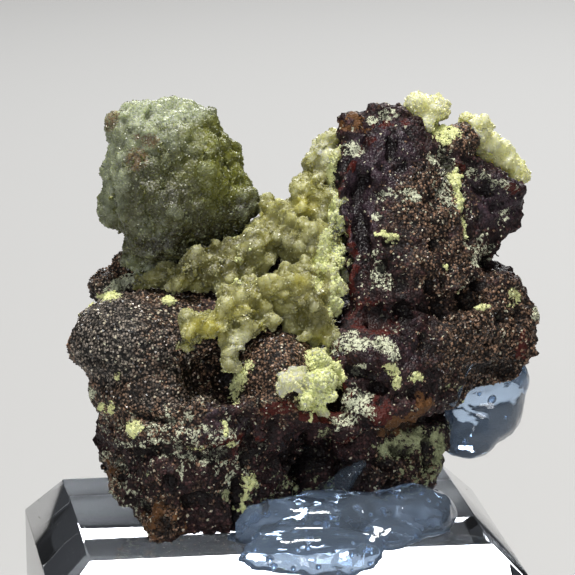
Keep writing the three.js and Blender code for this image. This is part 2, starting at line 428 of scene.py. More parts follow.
def specksGroup():  # small flecks, in the share of cells that Cover gives
    inputs = {"Place": "Vector", "Scale": "Float", "Cover": "Float", "Size": "Float"}
    tree, given, result = newGroup("specks", inputs, "Mask", "Float")
    wobble = addNode(tree, "ShaderNodeTexNoise", {"Vector": given["Place"], "Scale": 3500.0})
    values = {0: wobble.outputs["Color"], 1: (0.0005, 0.0005, 0.0005), 2: given["Place"]}
    bent = addNode(tree, "ShaderNodeVectorMath", values, operation="MULTIPLY_ADD").outputs[0]
    cells = addNode(tree, "ShaderNodeTexVoronoi", {"Vector": bent, "Scale": given["Scale"]})
    near = combine(tree, "LESS_THAN", cells.outputs["Distance"], given["Size"])
    pick = addNode(tree, "ShaderNodeSeparateColor", {0: cells.outputs["Color"]}).outputs[0]
    chosen = combine(tree, "LESS_THAN", pick, given["Cover"])
    tree.links.new(combine(tree, "MULTIPLY", near, chosen), result.inputs["Mask"])
    return tree


def mottleGroup():  # two tones in soft clouds
    inputs = {"Place": "Vector", "Scale": "Float", "Dark": "Color", "Light": "Color"}
    tree, given, result = newGroup("mottle", inputs, "Colour", "Color")
    clouds = ramp(tree, noiseSocket(tree, given["Place"], given["Scale"], 5.0, 0.6), 0.32, 0.68)
    tree.links.new(mixColour(tree, clouds, given["Dark"], given["Light"]), result.inputs["Colour"])
    return tree


def gritGroup():  # packed grains: each has its own tone, with dark gaps between them
    inputs = {"Place": "Vector", "Scale": "Float", "Dark": "Color", "Light": "Color"}
    tree, given, result = newGroup("grit", inputs, "Colour", "Color")
    cells = addNode(tree, "ShaderNodeTexVoronoi", {"Vector": given["Place"], "Scale": given["Scale"]})
    pick = addNode(tree, "ShaderNodeSeparateColor", {0: cells.outputs["Color"]}).outputs[0]
    crown = ramp(tree, cells.outputs["Distance"], 0.7, 0.25)
    tone = combine(tree, "MULTIPLY", combine(tree, "POWER", pick, 2.2), crown)
    tree.links.new(mixColour(tree, tone, given["Dark"], given["Light"]), result.inputs["Colour"])
    return tree


raggedPatch = raggedPatchGroup()
specks = specksGroup()
mottle = mottleGroup()
grit = gritGroup()


def placeGroup(tree, group, *values):  # the group's inputs in order; gives its one output
    node = addNode(tree, "ShaderNodeGroup", node_tree=group)
    for socket, value in zip(node.inputs, values):
        if isinstance(value, bpy.types.NodeSocket):
            tree.links.new(value, socket)
        else:
            socket.default_value = value
    return node.outputs[0]


def shade(colour, factor):
    return tuple(min(1.0, channel * factor) for channel in colour[:3]) + (1,)


def newMaterial(name, **values):
    material = bpy.data.materials.new(name)
    material.use_nodes = True
    tree = material.node_tree
    shader = tree.nodes["Principled BSDF"]
    for socket, value in values.items():
        shader.inputs[socket.replace("_", " ")].default_value = value
    place = addNode(tree, "ShaderNodeTexCoord").outputs["Object"]
    return material, tree, shader, place


def addBump(tree, shader, height, strength, depth):
    values = {"Height": height, "Strength": strength, "Distance": depth}
    bump = addNode(tree, "ShaderNodeBump", values)
    tree.links.new(bump.outputs["Normal"], shader.inputs["Normal"])


def finishPiece(piece, material, slot, *nodes):
    piece.data.materials.clear()
    piece.data.materials.append(material)
    piece.vertex_groups.clear()
    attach(piece, "root")
    if nodes:
        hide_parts(*nodes)
    print(piece.name, "done:", len(cornerArray(piece)), "triangles")


def shadeFlat(piece):
    focusOn(piece)
    bpy.ops.object.shade_flat()


def shadeSmooth(piece):
    focusOn(piece)
    bpy.ops.object.shade_smooth()


# Limonite rock
lobeZones = {
    "lobe": [
        (140, 340, 88, 66, 0, 1.0), (150, 398, 66, 34, 0, 1.0), (282, 370, 46, 44, 0, 1.0),
        (103, 283, 20, 18, 0, 1.0), (127, 261, 16, 14, 0, 1.0), (463, 138, 22, 18, 0, 0.8),
    ],
}
rockZones = {
    "granular": [
        (140, 345, 90, 66, 0, 1.0), (150, 398, 66, 40, 0, 1.0), (282, 372, 48, 46, 0, 1.0),
        (103, 283, 22, 20, 0, 1.0), (127, 261, 18, 16, 0, 1.0), (463, 138, 20, 16, 0, 1.0),
        (430, 205, 42, 42, 0, 0.8), (448, 262, 42, 40, 0, 0.7), (492, 338, 54, 58, 0, 1.0),
        (112, 476, 12, 26, 0, 0.9), (162, 516, 26, 26, 0, 0.8), (180, 465, 80, 60, 0, 0.3),
        (412, 478, 45, 30, 0, 0.5),
    ],
    "grey": [
        (108, 335, 40, 50, 0, 1.0), (150, 352, 60, 60, 0, 0.5), (180, 400, 60, 14, 0, 0.5),
    ],
    "lemon": [
        (330, 172, 5, 26, 12, 0.8), (336, 215, 6, 16, 0, 0.8), (324, 240, 8, 18, -20, 0.9),
        (338, 262, 6, 26, 0, 0.8), (322, 262, 8, 14, 0, 0.8), (334, 304, 6, 16, 0, 0.8),
        (318, 361, 12, 12, 0, 1.4), (330, 376, 13, 14, 0, 1.3), (312, 398, 13, 12, 0, 1.3),
        (311, 418, 2, 8, 0, 0.8), (390, 105, 8, 3, 0, 0.9), (443, 134, 12, 8, 20, 1.0),
        (457, 180, 4, 10, -8, 1.5), (462, 202, 4, 11, -18, 1.4), (468, 228, 3, 13, -15, 0.9),
        (386, 234, 12, 4, 10, 0.8), (446, 267, 3, 3, 0, 0.9), (482, 307, 7, 3, 10, 0.9),
        (516, 296, 8, 4, 20, 0.8), (514, 305, 5, 3, 0, 0.7), (532, 290, 3, 5, 0, 0.7),
        (391, 370, 8, 6, 30, 0.8), (397, 382, 5, 7, 0, 0.8), (418, 377, 8, 5, 0, 0.8),
        (109, 296, 11, 4, -5, 1.0), (176, 289, 8, 3, 0, 0.9), (169, 301, 8, 4, -10, 0.9),
        (78, 313, 3, 3, 0, 0.8), (116, 377, 3, 3, 0, 0.7), (102, 406, 4, 4, 0, 0.9),
        (111, 407, 3, 7, 0, 0.8), (135, 428, 8, 7, 30, 0.9), (223, 426, 3, 7, 0, 0.8),
        (230, 444, 7, 5, 0, 0.7), (198, 449, 12, 3, 0, 0.6), (250, 482, 10, 9, -20, 0.8),
        (246, 497, 4, 9, 0, 0.7), (245, 511, 3, 9, 0, 0.6), (240, 378, 7, 18, 25, 0.8),
        (234, 395, 5, 8, 0, 0.7),
    ],
    "pale": [
        (355, 150, 10, 7, 0, 0.8), (373, 121, 5, 4, 0, 0.6), (389, 116, 8, 4, 0, 0.6),
        (351, 334, 12, 4, -10, 0.7), (353, 346, 18, 8, -5, 0.7), (382, 347, 13, 8, 10, 0.9),
        (393, 356, 6, 6, 0, 0.7), (336, 345, 4, 12, 0, 0.6), (362, 368, 9, 3, -15, 0.7),
        (356, 402, 16, 13, 0, 0.6), (369, 412, 6, 8, 0, 0.7), (346, 421, 14, 5, 0, 0.6),
        (380, 279, 13, 11, 20, 0.36), (433, 160, 8, 4, 30, 0.7), (446, 164, 8, 12, -30, 0.45),
        (452, 196, 14, 26, -20, 0.26), (413, 197, 8, 4, 30, 0.7), (395, 195, 24, 8, 0, 0.15),
        (122, 284, 16, 6, -25, 1.1), (376, 216, 4, 3, 0, 0.7), (481, 248, 12, 12, 40, 0.3),
        (478, 262, 5, 4, 0, 0.7), (490, 180, 24, 6, 20, 0.3), (508, 215, 6, 10, 0, 0.3),
        (537, 312, 5, 8, 0, 0.6), (372, 258, 12, 8, 0, 0.3), (90, 395, 4, 6, 0, 0.7),
        (164, 454, 8, 4, 0, 0.6), (181, 472, 2, 8, 0, 0.6), (104, 457, 5, 5, 0, 0.5),
        (190, 440, 70, 24, 10, 0.22), (120, 500, 20, 30, 0, 0.2), (155, 441, 5, 3, 0, 0.7),
        (178, 448, 5, 4, 20, 0.7), (204, 460, 4, 5, 0, 0.6), (232, 480, 5, 8, 10, 0.6),
    ],
    "red": [
        (513, 189, 8, 4, 20, 1.0), (456, 167, 8, 5, 20, 0.7), (392, 123, 16, 4, -8, 0.7),
        (370, 140, 7, 4, -40, 0.7), (360, 152, 9, 3, -45, 0.7), (352, 168, 4, 9, 30, 0.7),
        (344, 186, 4, 9, 20, 0.7), (341, 200, 4, 8, -10, 0.7), (346, 216, 4, 9, -22, 0.7),
        (350, 232, 4, 9, -14, 0.7), (354, 250, 4, 10, -8, 0.7), (355, 270, 5, 12, 8, 0.6),
        (351, 290, 5, 10, 12, 0.6), (338, 350, 5, 16, -10, 0.6), (366, 314, 18, 12, 0, 0.8),
        (377, 323, 22, 12, 10, 0.8), (285, 408, 14, 7, -10, 1.0), (322, 417, 22, 6, 0, 1.0),
        (379, 403, 14, 10, 0, 0.8), (377, 418, 10, 8, 0, 0.9), (265, 412, 8, 6, -30, 0.9),
        (340, 375, 5, 26, -25, 0.6), (520, 345, 6, 16, 0, 0.6), (235, 440, 30, 14, 0, 0.4),
    ],
    "rust": [
        (355, 127, 13, 11, 0, 0.8), (424, 404, 10, 10, 0, 1.1), (401, 424, 19, 9, -18, 1.1),
        (127, 258, 10, 8, 0, 0.6), (162, 520, 24, 20, 0, 0.5), (112, 478, 9, 20, 0, 0.5),
    ],
    "moss": [
        (414, 440, 24, 12, -10, 0.8), (392, 448, 16, 10, 0, 0.75), (442, 447, 8, 22, -10, 0.9),
        (442, 466, 3, 8, 0, 0.6), (325, 438, 9, 6, 0, 0.5), (148, 474, 5, 5, 0, 0.6),
        (227, 494, 5, 5, 0, 0.6), (455, 388, 10, 3, 0, 0.5), (300, 500, 50, 30, 0, 0.3),
        (430, 475, 30, 20, 0, 0.35),
    ],
    "sheen": [
        (381, 160, 36, 44, 20, 0.9), (360, 200, 16, 60, 0, 1.0), (490, 200, 40, 30, 20, 0.8),
        (202, 411, 30, 7, -5, 1.0), (390, 350, 40, 50, 0, 0.5), (215, 430, 60, 14, 0, 0.5),
    ],
}
reliefZones = {
    "raised": [
        (352, 128, 14, 16, 0, 0.8), (385, 106, 40, 9, 6, 0.7), (425, 135, 10, 26, -28, 0.5),
        (463, 140, 14, 13, 0, 1.0), (488, 176, 36, 4, 24, 0.8), (352, 166, 4, 10, 30, 0.8),
        (343, 190, 4, 14, 10, 0.8), (347, 218, 4, 14, -20, 0.8), (353, 246, 4, 14, -8, 0.8),
        (353, 276, 4, 14, 8, 0.7), (380, 150, 9, 28, 25, 0.6), (400, 142, 9, 22, -22, 0.6),
        (418, 175, 26, 30, -20, 0.5), (440, 228, 24, 22, 0, 0.5), (424, 262, 18, 12, 30, 0.6),
        (505, 284, 16, 9, 20, 0.8), (470, 342, 34, 28, 10, 0.8), (524, 338, 10, 24, 0, 0.7),
        (368, 349, 34, 18, 8, 0.8), (338, 352, 5, 30, -20, 0.6), (353, 408, 20, 13, 0, 0.7),
        (400, 412, 30, 10, -18, 0.8), (415, 330, 14, 16, 0, 0.5), (198, 408, 16, 5, -18, 1.0),
        (226, 413, 12, 4, 0, 0.7), (258, 440, 10, 18, 8, 0.9), (282, 446, 9, 12, 0, 0.9),
        (340, 452, 14, 12, 0, 0.7), (135, 440, 18, 12, 10, 0.7), (190, 436, 22, 9, 0, 0.6),
        (232, 436, 16, 10, 0, 0.7), (155, 472, 18, 14, 0, 0.6), (205, 482, 18, 16, 0, 0.6),
        (163, 522, 18, 20, 0, 0.8), (118, 488, 10, 18, -20, 0.6), (225, 512, 14, 16, 0, 0.6),
        (410, 478, 24, 16, 0, 0.6),
    ],
    "sunk": [
        (359, 190, 7, 20, 15, 0.9), (361, 218, 6, 16, -10, 0.8), (345, 250, 3, 16, -10, 0.6),
        (345, 284, 3, 12, 5, 0.6), (391, 150, 4, 22, 4, 0.5), (402, 168, 14, 4, -10, 0.5),
        (362, 240, 5, 20, -14, 0.5), (484, 190, 20, 5, 22, 0.4), (497, 205, 8, 8, 0, 0.6),
        (449, 168, 4, 14, -20, 0.6), (468, 222, 4, 28, -12, 0.5), (468, 299, 7, 8, 20, 1.4),
        (503, 317, 6, 8, 0, 1.1), (478, 283, 5, 5, 0, 0.9), (445, 285, 3, 8, 0, 0.9),
        (433, 245, 4, 4, 0, 0.8), (430, 286, 4, 5, 0, 0.8), (404, 314, 8, 9, 0, 0.8),
        (384, 267, 6, 4, 0, 0.8), (395, 242, 10, 5, 0, 0.5), (400, 285, 6, 14, 0, 0.5),
        (520, 317, 4, 8, 0, 0.9), (372, 316, 26, 9, 14, 0.7), (378, 388, 7, 4, 0, 1.2),
        (362, 374, 14, 3, 20, 0.6), (430, 345, 8, 14, -30, 0.6), (440, 310, 5, 12, -30, 0.5),
        (495, 372, 26, 8, 0, 0.9), (400, 450, 10, 5, 0, 0.5), (385, 462, 8, 6, 0, 0.8),
        (395, 490, 10, 7, 0, 0.9), (428, 452, 3, 16, 0, 0.7), (170, 483, 5, 5, 0, 1.4),
        (166, 525, 5, 8, 0, 1.2), (195, 500, 12, 5, 0, 0.8), (215, 455, 14, 4, 0, 0.7),
        (150, 452, 16, 3, -10, 0.6), (248, 452, 6, 12, 0, 0.9), (238, 508, 4, 26, 0, 0.9),
        (95, 362, 14, 3, 20, 0.5), (150, 418, 24, 4, 8, 0.7), (120, 468, 3, 14, -10, 0.6),
        (140, 505, 12, 4, 20, 0.7), (305, 462, 30, 16, 0, 0.8), (355, 478, 22, 12, 0, 0.7),
    ],
}
coatColours = {
    "rust": (0.16, 0.072, 0.026, 1),
    "red": (0.085, 0.013, 0.009, 1),
    "moss": (0.42, 0.45, 0.25, 1),
    "pale": (0.82, 0.85, 0.62, 1),
    "lemon": (0.93, 0.98, 0.46, 1),
}
powderCoats = ("moss", "pale", "lemon")
powderScale = 1900.0
# near black used as painted shade in crevices and sunk places
recessShadeColour = (0.006, 0.004, 0.004, 1)
brownGrit = ((0.006, 0.0035, 0.0025, 1), (0.5, 0.3, 0.19, 1))  # darkest and lightest grain
greyGrit = ((0.007, 0.0065, 0.006, 1), (0.5, 0.44, 0.37, 1))
rockLook = {
    "coarseVoxel": 0.45 * mm,
    "coarseSmooth": 5,
    "inflate": 0.18 * mm,
    "boulders": (3.2 * mm, 1.2 * mm),  # size and height
    "blocks": (2.0 * mm, 0.6 * mm),
    "lumps": {"count": 460, "smallest": (0.7, 0.7, 0.6), "largest": (2.2, 2.2, 1.4), "bias": 1.5,
              "tilt": 0.3, "sink": 0.15, "draw": 11},
    "fineVoxel": 0.26 * mm,
    "raiseHeight": 0.8 * mm,
    "sinkDepth": 0.95 * mm,
    "knobs": (1.2 * mm, 0.7 * mm),
    "chips": (0.75 * mm, 0.35 * mm),
    "grit": (0.4 * mm, 0.2 * mm),
    "coatHeight": 0.22 * mm,
    "gritScale": 4600.0,
    "stainScale": 900.0,
    "clouds": (420.0, (0.007, 0.004, 0.005, 1), (0.045, 0.017, 0.018, 1)),  # scale, dark and light
    "crumbs": (3600.0, (0.004, 0.0025, 0.003, 1), (0.2, 0.088, 0.082, 1)),
    "lustre": (1500.0, (0.009, 0.006, 0.009, 1), (0.085, 0.056, 0.074, 1)),
    "flecks": ((1300.0, 0.17), (2800.0, 0.22)),  # scale and size
    "fleckColour": (0.62, 0.6, 0.44, 1),
    "zoneEdges": (0.4, 0.7 * mm),  # raggedness and its size
    "crevices": (10, 0.28 * mm),  # rounds of smoothing and the deepest crevice
}


def coatedColour(tree, place, colour, zones, scale):  # a colour under the zones' coats, and their mask
    cover = 0.0
    for zone in zones:
        torn, fineness = (2.2, 2.1) if zone == "pale" else (1.2, 1.0)
        mask = placeGroup(tree, raggedPatch, place, zoneSocket(tree, zone), scale * fineness, torn)
        coat = coatColours[zone]
        powder = placeGroup(tree, mottle, place, 3600.0, shade(coat, 0.78), shade(coat, 1.1))
        colour = mixColour(tree, mask, colour, powder)
        cover = combine(tree, "MAXIMUM", cover, mask)
    return colour, cover


def gritColour(tree, place):  # brown grains, turning grey where the grey zone is painted
    scale = rockLook["gritScale"]
    brown = placeGroup(tree, grit, place, scale, *brownGrit)
    grey = placeGroup(tree, grit, place, scale, *greyGrit)
    return mixColour(tree, ramp(tree, zoneSocket(tree, "grey"), 0.1, 0.9, 0.0, 0.9), brown, grey)


def limoniteMaterial():
    material, tree, shader, place = newMaterial("limoniteRock", IOR=1.5, Specular_IOR_Level=0.28)
    clouds = placeGroup(tree, mottle, place, *rockLook["clouds"])
    crumbs = placeGroup(tree, grit, place, *rockLook["crumbs"])
    colour = mixColour(tree, 0.5, clouds, crumbs)
    sheen = zoneSocket(tree, "sheen")
    lustre = placeGroup(tree, mottle, place, *rockLook["lustre"])
    colour = mixColour(tree, ramp(tree, sheen, 0.3, 0.9, 0.0, 0.75), colour, lustre)
    granular = ramp(tree, zoneSocket(tree, "granular"), 0.2, 0.8)
    colour = mixColour(tree, granular, colour, gritColour(tree, place))
    colour = coatedColour(tree, place, colour, ("rust", "red"), rockLook["stainScale"])[0]
    crowd = ramp(tree, noiseSocket(tree, place, 260.0, 3.0), 0.4, 0.66, 0.05, 0.5)
    for scale, size in rockLook["flecks"]:
        flecks = placeGroup(tree, specks, place, scale, crowd, size)
        colour = mixColour(tree, flecks, colour, rockLook["fleckColour"])
    colour, cover = coatedColour(tree, place, colour, powderCoats, powderScale)
    # painted shade: crevices and sunk places are darkened towards near black
    hollow = combine(tree, "MAXIMUM", zoneSocket(tree, "crevice"), zoneSocket(tree, "sunk"))
    colour = mixColour(tree, ramp(tree, hollow, 0.1, 0.9, 0.0, 0.85), colour, recessShadeColour)
    tree.links.new(colour, shader.inputs["Base Color"])
    worn = ramp(tree, sheen, 0.2, 0.8, 0.55, 0.36)
    roughness = combine(tree, "ADD", worn, combine(tree, "MULTIPLY", cover, 0.4))
    tree.links.new(roughness, shader.inputs["Roughness"])
    cells = addNode(tree, "ShaderNodeTexVoronoi", {"Vector": place, "Scale": rockLook["gritScale"]})
    grainy = combine(tree, "MULTIPLY", cells.outputs["Distance"], -1.0)
    rough = combine(tree, "MULTIPLY", noiseSocket(tree, place, 1500.0), 0.6)
    addBump(tree, shader, combine(tree, "ADD", grainy, rough), 0.8, 0.13 * mm)
    return material


def makeRock(material):
    look = rockLook
    rock = copyNode("limonite_rock", "limonite_rock_surface")
    remesh(rock, look["coarseVoxel"])
    soften(rock, look["coarseSmooth"])
    inflate(rock, look["inflate"])
    paintZones(rock, lobeZones)
    rugged = 1 - 0.9 * zoneArray(rock, "lobe")
    groupFromWeights(rock, "rugged", rugged)
    swell(rock, "CLOUDS", *look["boulders"], "rugged", noise_type="HARD_NOISE")
    crack(rock, *look["blocks"], "rugged")
    joinInto(rock, scatter("rock_lumps", rock, roundShape(1, 0.16, 3), look["lumps"], rugged))
    remesh(rock, look["fineVoxel"])
    soften(rock, 3)
    paintZones(rock, lobeZones)
    paintZones(rock, rockZones, *look["zoneEdges"])
    rock.vertex_groups.clear()
    shapeRelief(rock, reliefZones, look["raiseHeight"], look["sinkDepth"])
    smoothed = 0.8 * zoneArray(rock, "lobe") + 0.6 * zoneArray(rock, "sheen")
    groupFromWeights(rock, "rugged", np.clip(1 - smoothed, 0, 1))
    swell(rock, "CLOUDS", *look["knobs"], "rugged", noise_type="HARD_NOISE")
    crack(rock, *look["chips"], "rugged")
    swell(rock, "CLOUDS", *look["grit"])
    groupFromWeights(rock, "coat", smoothStep(0.4, 1.0, zoneArray(rock, "lemon")))
    inflate(rock, look["coatHeight"], "coat")
    paintCrevices(rock, *look["crevices"])
    shadeSmooth(rock)
    finishPiece(rock, material, "limonite", "limonite_rock")
    return rock


limonite = limoniteMaterial()
rock = makeRock(limonite)
coatZones = tuple(rockZones) + ("sunk", "crevice")

# Limonite grains, broken chips and the crumbs of the lemon coat
grainPlan = {"count": 21000, "smallest": (0.16, 0.16, 0.16), "largest": (0.34, 0.34, 0.3), "bias": 1.6,
             "tilt": 0.6, "sink": 0.05, "draw": 21}
chipPlan = {"count": 1900, "smallest": (0.3, 0.3, 0.2), "largest": (0.95, 0.8, 0.6), "bias": 2.2,
            "tilt": 0.6, "sink": 0.2, "draw": 25}
crumbPlan = {"smallest": (0.12, 0.12, 0.1), "largest": (0.42, 0.42, 0.3), "bias": 2.0,
             "tilt": 0.6, "sink": 0.1, "draw": 31}
crumbCounts = {"rock_lemon_crumbs": 2500, "crust_lemon_crumbs": 1400, "tuft_lemon_crumbs": 900}
grainPowderScale = 2500.0


def grainMaterial():
    material, tree, shader, place = newMaterial("limoniteGrain", IOR=1.6, Specular_IOR_Level=0.5)
    tone = combine(tree, "POWER", zoneSocket(tree, "tone"), 2.2)
    brown = mixColour(tree, tone, *brownGrit)
    grey = mixColour(tree, tone, *greyGrit)
    colour = mixColour(tree, ramp(tree, zoneSocket(tree, "grey"), 0.1, 0.9, 0.0, 0.9), brown, grey)
    rusty = ramp(tree, zoneSocket(tree, "rust"), 0.3, 0.7, 0.0, 0.7)
    colour = mixColour(tree, rusty, colour, coatColours["rust"])
    # painted glints: the brightest grains get a pale colour that stands in for highlights
    colour = mixColour(tree, combine(tree, "GREATER_THAN", tone, 0.88), colour, (0.75, 0.67, 0.5, 1))
    colour, cover = coatedColour(tree, place, colour, powderCoats, grainPowderScale)
    # painted shade: grains in sunk places are darkened towards near black
    hollow = ramp(tree, zoneSocket(tree, "sunk"), 0.2, 0.9, 0.0, 0.8)
    colour = mixColour(tree, hollow, colour, recessShadeColour)
    tree.links.new(colour, shader.inputs["Base Color"])
    tree.links.new(ramp(tree, cover, 0.0, 1.0, 0.3, 0.85), shader.inputs["Roughness"])
    return material


def lemonMaterial():
    material, tree, shader, place = newMaterial("lemonPowder", Roughness=0.9, Specular_IOR_Level=0.2)
    lemon = coatColours["lemon"]
    tone = ramp(tree, zoneSocket(tree, "tone"), 0.2, 1.0, 0.0, 0.7)
    colour = placeGroup(tree, mottle, place, 1600.0, shade(lemon, 0.75), lemon)
    colour = mixColour(tree, tone, colour, (0.86, 0.9, 0.55, 1))
    tree.links.new(colour, shader.inputs["Base Color"])
    addBump(tree, shader, noiseSocket(tree, place, 7000.0), 0.6, 0.06 * mm)
    return material


def makeGrit():
    rugged = 1 - zoneArray(rock, "lobe")
    grainy = zoneArray(rock, "granular") ** 1.5 + 0.03 * (1.5 - zoneArray(rock, "sheen"))
    grains = scatter("limonite_grains", rock, grainShape(), grainPlan, grainy, coatZones)
    shadeFlat(grains)
    finishPiece(grains, grainMaterial(), "limonite")
    chips = scatter("limonite_chips", rock, roundShape(1, 0.18, 6), chipPlan, rugged + 0.02, coatZones)
    shadeFlat(chips)
    finishPiece(chips, limonite, "limonite")


def makeCrumbs(name, host):
    coated = smoothStep(0.45, 0.9, zoneArray(host, "lemon"))
    plan = dict(crumbPlan, count=crumbCounts[name])
    crumbs = scatter(name, host, roundShape(1, 0.12, 8), plan, coated)
    shadeSmooth(crumbs)
    finishPiece(crumbs, lemonPowder, "limonite")


lemonPowder = lemonMaterial()
makeGrit()
makeCrumbs("rock_lemon_crumbs", rock)

# Austinite: a rounded body of buds and a druse of small crystals on it
ballZones = {
    # painted highlight on the ball's lit top and left side
    "frostAndHighlight": [
        (150, 110, 60, 20, 0, 0.9), (140, 125, 60, 46, 0, 0.55), (112, 165, 18, 60, 0, 0.6),
        (150, 228, 22, 14, 0, 0.4), (140, 268, 16, 16, 0, 0.6),
    ],
    # painted glow of light passing through the ball's right side
    "honeyAndGlow": [
        (206, 135, 28, 24, 0, 0.8), (225, 175, 30, 36, 0, 0.9), (190, 165, 26, 24, 0, 0.5),
    ],
    "shade": [
        (205, 238, 52, 18, -12, 1.0), (150, 250, 18, 18, 0, 0.8), (240, 215, 25, 22, 0, 0.7),
        (195, 205, 50, 30, 0, 0.35),
    ],
    "lemon": [],
    "rust": [
        (112, 118, 6, 12, 20, 0.9), (150, 141, 8, 6, 0, 1.0), (137, 137, 3, 3, 0, 0.9),
        (137, 159, 10, 10, 0, 1.0),
    ],
}
crustZones = {
    # pale frost, partly painted light on lit tops such as the knob
    "frostAndHighlight": [
        (320, 150, 14, 24, 0, 0.9), (240, 350, 14, 20, 0, 0.7), (425, 105, 30, 26, 0, 1.5),
        (492, 140, 40, 40, 40, 0.7), (288, 382, 14, 16, 0, 1.3),
    ],
    # honey-coloured thick parts, partly painted glow
    "honeyAndGlow": [
        (235, 312, 36, 12, -15, 0.6), (270, 297, 24, 14, -10, 0.5), (203, 333, 22, 14, 0, 1.1),
        (306, 205, 12, 12, 0, 1.0), (322, 318, 12, 24, 0, 1.0), (300, 290, 12, 18, 0, 0.7),
        (255, 213, 16, 10, 0, 0.4), (205, 272, 40, 10, -8, 0.5), (480, 140, 12, 12, 0, 0.7),
        (425, 104, 10, 8, 0, 0.6), (500, 165, 12, 10, 0, 0.7),
    ],
    "shade": [
        (205, 266, 50, 14, -10, 0.8), (218, 244, 42, 7, -16, 1.2), (215, 270, 40, 10, -10, 0.9),
        (290, 245, 26, 18, 0, 0.5), (312, 312, 24, 26, 0, 0.8), (265, 300, 30, 14, 0, 0.3),
    ],
    "rust": [],
    "lemon": [
        (333, 168, 5, 22, 8, 0.9), (334, 216, 6, 14, 0, 0.9), (327, 242, 8, 14, 20, 1.1),
        (339, 262, 8, 28, 0, 1.3), (322, 262, 10, 12, 0, 0.9), (338, 212, 7, 20, 0, 1.2),
        (318, 282, 6, 10, 0, 0.6), (338, 300, 9, 20, 0, 1.2), (328, 372, 20, 20, 20, 1.4),
        (314, 402, 18, 12, 0, 1.3), (336, 398, 12, 16, 0, 1.1), (432, 122, 12, 5, 10, 0.8),
    ],
}
ballRelief = {
    "raised": [
        (158, 103, 13, 8, 0, 0.9), (255, 190, 22, 22, 0, 0.5), (128, 150, 10, 34, 6, 0.5),
        (170, 150, 12, 40, -4, 0.5), (215, 165, 14, 30, -12, 0.5), (190, 215, 26, 10, 0, 0.4),
    ],
    "sunk": [
        (98, 218, 17, 26, 0, 1.0), (150, 170, 5, 30, 0, 0.3), (194, 160, 5, 36, -6, 0.3),
    ],
}
greenLook = {
    "name": "greenAustinite",
    "crystals": 4800.0,  # scale of the smallest crystals
    "body": (0.085, 0.086, 0.031, 1),
    "frostAndHighlight": (0.5, 0.55, 0.35, 1),
    "honeyAndGlow": (0.2, 0.208, 0.03, 1),
    "shade": (0.03, 0.026, 0.009, 1),
    "radius": (0.8, 0.85, 0.35),
    # ridge and hollow: strengths of the painted highlight on ridges and the painted shade in crevices
    "ridgeHighlight": 0.25,
    "hollow": 0.4,
}
yellowLook = {
    "name": "yellowAustinite",
    "crystals": 3600.0,
    "body": (0.34, 0.325, 0.12, 1),
    "frostAndHighlight": (0.8, 0.8, 0.5, 1),
    "honeyAndGlow": (0.52, 0.47, 0.09, 1),
    "shade": (0.14, 0.13, 0.045, 1),
    "radius": (1.6, 1.55, 0.8),
    # ridge and hollow: strengths of the painted highlight on ridges and the painted shade in crevices
    "ridgeHighlight": 0.32,
    "hollow": 0.4,
}
creamLook = dict(
    yellowLook,
    name="creamAustinite",
    body=(0.92, 0.9, 0.42, 1),
    # a weaker painted shade in crevices
    hollow=0.15,
    frostAndHighlight=(0.95, 0.94, 0.53, 1),
    honeyAndGlow=(0.7, 0.63, 0.17, 1),
)
stainColour = (0.19, 0.095, 0.035, 1)
crystalCrevices = (12, 0.3 * mm)  # rounds of smoothing and the deepest crevice


def austiniteMaterial(look, druse):
    name = look["name"] + ("Druse" if druse else "Body")
    material, tree, shader, place = newMaterial(
        name,
        Roughness=0.26 if druse else 0.4,
        Specular_IOR_Level=0.45,
        Subsurface_Weight=0.0 if druse else 1.0,
        Subsurface_Radius=look["radius"],
        Subsurface_Scale=1.0 * mm,
        IOR=1.6,
    )
    colour = placeGroup(tree, mottle, place, 520.0, shade(look["body"], 0.75), shade(look["body"], 1.25))
    # honey patches hold painted glow, frost patches painted highlight, shade patches painted shade
    for zone, scale, strongest in (("honeyAndGlow", 500.0, 0.85), ("frostAndHighlight", 900.0, 0.92), ("shade", 400.0, 0.9)):
        drift = combine(tree, "SUBTRACT", noiseSocket(tree, place, scale, 3.0), 0.5)
        amount = combine(tree, "ADD", zoneSocket(tree, zone), combine(tree, "MULTIPLY", drift, 0.6))
        colour = mixColour(tree, ramp(tree, amount, 0.15, 0.9, 0.0, strongest), colour, look[zone])
    crevice = zoneSocket(tree, "crevice")
    # painted highlight: ridges are lightened towards the frost colour
    colour = mixColour(tree, ramp(tree, crevice, -0.1, -0.8, 0.0, look["ridgeHighlight"]), colour, look["frostAndHighlight"])
    # painted shade: crevices are darkened towards a deeper honey colour
    creviceShade = ramp(tree, crevice, 0.1, 0.8, 0.0, look["hollow"])
    colour = mixColour(tree, creviceShade, colour, shade(look["honeyAndGlow"], 0.6))
    if druse:
        tone = zoneSocket(tree, "tone")
        colour = mixColour(tree, ramp(tree, tone, 0.4, 1.0, 0.0, 0.45), colour, look["frostAndHighlight"])
        colour = mixColour(tree, ramp(tree, tone, 0.3, 0.0, 0.0, 0.25), colour, shade(look["honeyAndGlow"], 0.8))
    else:
        cells = addNode(tree, "ShaderNodeTexVoronoi", {"Vector": place, "Scale": look["crystals"]})
        grainy = combine(tree, "MULTIPLY", cells.outputs["Distance"], -1.0)
        rough = combine(tree, "MULTIPLY", noiseSocket(tree, place, look["crystals"], 5.0, 0.65), 0.4)
        addBump(tree, shader, combine(tree, "ADD", grainy, rough), 0.8, 0.08 * mm)
    stain = placeGroup(tree, raggedPatch, place, zoneSocket(tree, "rust"), 6500.0, 2.4)
    stain = combine(tree, "MULTIPLY", stain, 0.75)
    colour = mixColour(tree, stain, colour, stainColour)
    colour = coatedColour(tree, place, colour, ("lemon",), powderScale)[0]
    tree.links.new(colour, shader.inputs["Base Color"])
    return material


